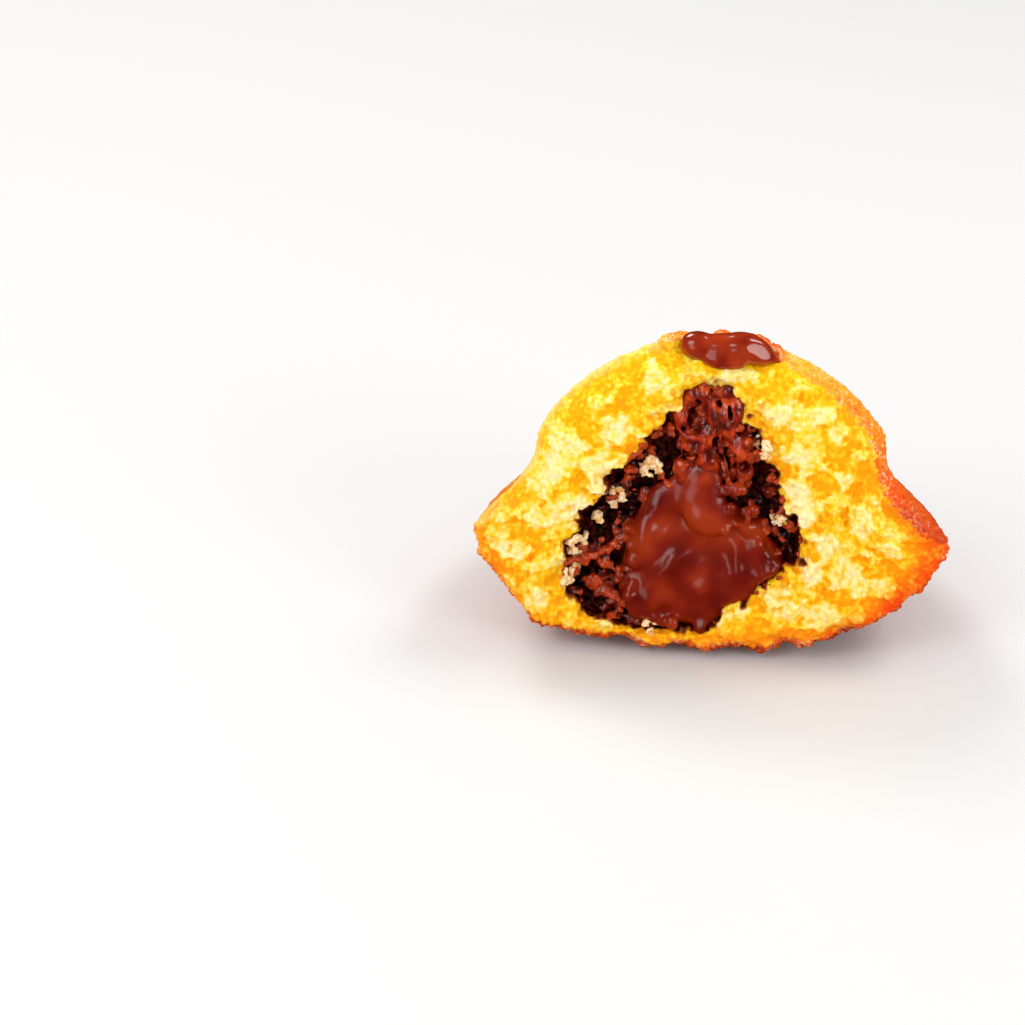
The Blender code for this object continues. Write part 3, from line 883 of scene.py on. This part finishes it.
# Its right end dried a little flatter than the rest.
flat_spot, facing = Vector((4.4, 0.45, 32.9)) * MM, Vector((0.411, -0.870, 0.273))
for vertex in top.verts:
    vertex.co += vertex.normal * waves(vertex.co, 4.4 * MM, 51.0) * 0.12 * MM
    over = (vertex.co - flat_spot).dot(facing)
    if over > 0 and vertex.co.x > 3.1 * MM:
        vertex.co -= facing * over * 0.8
relaxed(top, top.verts, 7)

top_material, tree, shader, places = new_material("set_chocolate")
swirls = noise_node(tree, places, 2.6 * MM, 2.0)
colour = colour_ramp(tree, swirls, [
    (0.32, (0.20, 0.009, 0.001)),
    (0.68, (0.40, 0.036, 0.006)),
])
tree.links.new(colour, shader.inputs["Base Color"])
roughen(tree, places, shader, 0.7 * MM, 0.04)
shader.inputs["Roughness"].default_value = 0.20
shader.inputs["Specular IOR Level"].default_value = 0.35
shader.inputs["Coat Weight"].default_value = 0.7
shader.inputs["Coat Roughness"].default_value = 0.05
top = finished(top, "chocolate_drop", top_material)
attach(top, "root")
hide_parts("chocolate_top")


# ---- Crumbs caught on the chocolate --------------------------------------------------------
# Dry, pale bits of sponge that broke off at the edge of the hollow and stuck to the wet lumps.

crumbs = bmesh.new()
for x, z, reach, count in (
    (-6.4, 19.9, 1.3, 28), (-9.9, 16.4, 1.2, 25), (-13.7, 11.2, 1.4, 28), (5.3, 22.8, 1.1, 19),
    (7.1, 14.8, 0.8, 14), (-5.8, 3.0, 0.8, 12), (-14.4, 8.4, 0.9, 14), (-11.6, 14.2, 0.7, 11),
):
    for _ in range(count):
        turn = rng.uniform(0, 2 * math.pi)
        away = 0.9 * reach * math.sqrt(rng.random())
        at_x, at_z = (x + away * math.cos(turn)) * MM, (z + away * math.sin(turn)) * MM
        level = break_level(at_x, at_z, 9 * MM)
        radius = rng.uniform(0.18, 0.46) * MM
        rise = (1.0 - 0.5 * away / reach) * MM * rng.uniform(0.4, 1.0)
        crumb_grain(crumbs, Vector((at_x, level - rise - 0.8 * MM, at_z)), radius, at_x * 9000)
crumbs = fused(crumbs, 0.14 * MM)
crumbs.normal_update()
for vertex in crumbs.verts:
    vertex.co += vertex.normal * 0.22 * MM * (grains(vertex.co, 0.45 * MM, 61.0) - 0.35)

crumbs_material, tree, shader, places = new_material("dry_crumbs")
speckles = noise_node(tree, places, 0.50 * MM, 2.0, 0.6)
colour = colour_ramp(tree, speckles, [
    (0.34, (0.62, 0.25, 0.045)),
    (0.46, (0.88, 0.55, 0.24)),
    (0.60, (0.97, 0.76, 0.50)),
])
tree.links.new(colour, shader.inputs["Base Color"])
shader.inputs["Roughness"].default_value = 0.8
shader.inputs["Specular IOR Level"].default_value = 0.15
crumbs = finished(crumbs, "caught_crumbs", crumbs_material)
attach(crumbs, "root")


# ---- Floor, light and camera ---------------------------------------------------------------
# A plain pale table top in a bright studio: soft boxes in front on both sides, and a window
# behind on the left that makes the crumb glow.

bm = bmesh.new()
bmesh.ops.create_grid(bm, x_segments=1, y_segments=1, size=3.0)
mesh = bpy.data.meshes.new("floor")
bm.to_mesh(mesh)
bm.free()
floor = bpy.data.objects.new("floor", mesh)
bpy.context.scene.collection.objects.link(floor)
floor_material, tree, shader, places = new_material("pale_floor")
shader.inputs["Base Color"].default_value = (0.70, 0.70, 0.70, 1.0)
shader.inputs["Roughness"].default_value = 0.5
mesh.materials.append(floor_material)
floor.visible_glossy = False      # the wet chocolate mirrors only the lamps

world = bpy.data.worlds.new("studio")
world.use_nodes = True
world.node_tree.nodes["Background"].inputs["Color"].default_value = (1.0, 1.0, 1.0, 1.0)
world.node_tree.nodes["Background"].inputs["Strength"].default_value = 0.74
bpy.context.scene.world = world
world.cycles_visibility.glossy = False


def soft_light(name, place, size, watts, colour, aim=(0.0, 0.0, 0.012)):
    """A square soft box that looks at the cake."""
    data = bpy.data.lights.new(name, "AREA")
    data.shape = "RECTANGLE"
    data.size, data.size_y = size
    data.energy = watts
    data.color = colour
    light = bpy.data.objects.new(name, data)
    light.location = place
    light.rotation_euler = (Vector(aim) - Vector(place)).to_track_quat("-Z", "Y").to_euler()
    bpy.context.scene.collection.objects.link(light)


soft_light("window", (-0.24, 0.30, 0.40), (0.20, 0.20), 1.10, (1.0, 0.98, 0.95))
soft_light("front_left", (-0.34, -0.34, 0.36), (0.32, 0.32), 1.05, (1.0, 0.985, 0.96))
soft_light("low_left", (-0.25, -0.44, 0.07), (0.22, 0.22), 0.27, (1.0, 0.97, 0.96))
soft_light("front_right", (0.40, -0.36, 0.22), (0.26, 0.26), 0.95, (1.0, 0.99, 0.97))
soft_light("over_right", (0.24, 0.10, 0.38), (0.16, 0.16), 0.65, (1.0, 0.99, 0.98))

CAMERA_ELEVATION = math.radians(26.0)
CAMERA_AZIMUTH = math.radians(4.5)
CAMERA_DISTANCE = 0.310
BESIDE = 0.0218           # the cake stands this far right of the view's middle
ABOVE = 0.0071            # and this far over it
camera_data = bpy.data.cameras.new("camera")
camera_data.lens = 100.0
camera_data.sensor_width = 36.0
camera = bpy.data.objects.new("camera", camera_data)
bpy.context.scene.collection.objects.link(camera)
turned = Matrix.Rotation(CAMERA_AZIMUTH, 4, "Z") @ Matrix.Rotation(math.pi / 2 - CAMERA_ELEVATION, 4, "X")
middle = Vector((0.0, 0.0, 0.0165))
camera.matrix_world = (
    Matrix.Translation(middle) @ turned @ Matrix.Translation((-BESIDE, -ABOVE, CAMERA_DISTANCE))
)
bpy.context.scene.camera = camera
bpy.context.scene.view_settings.view_transform = "Standard"
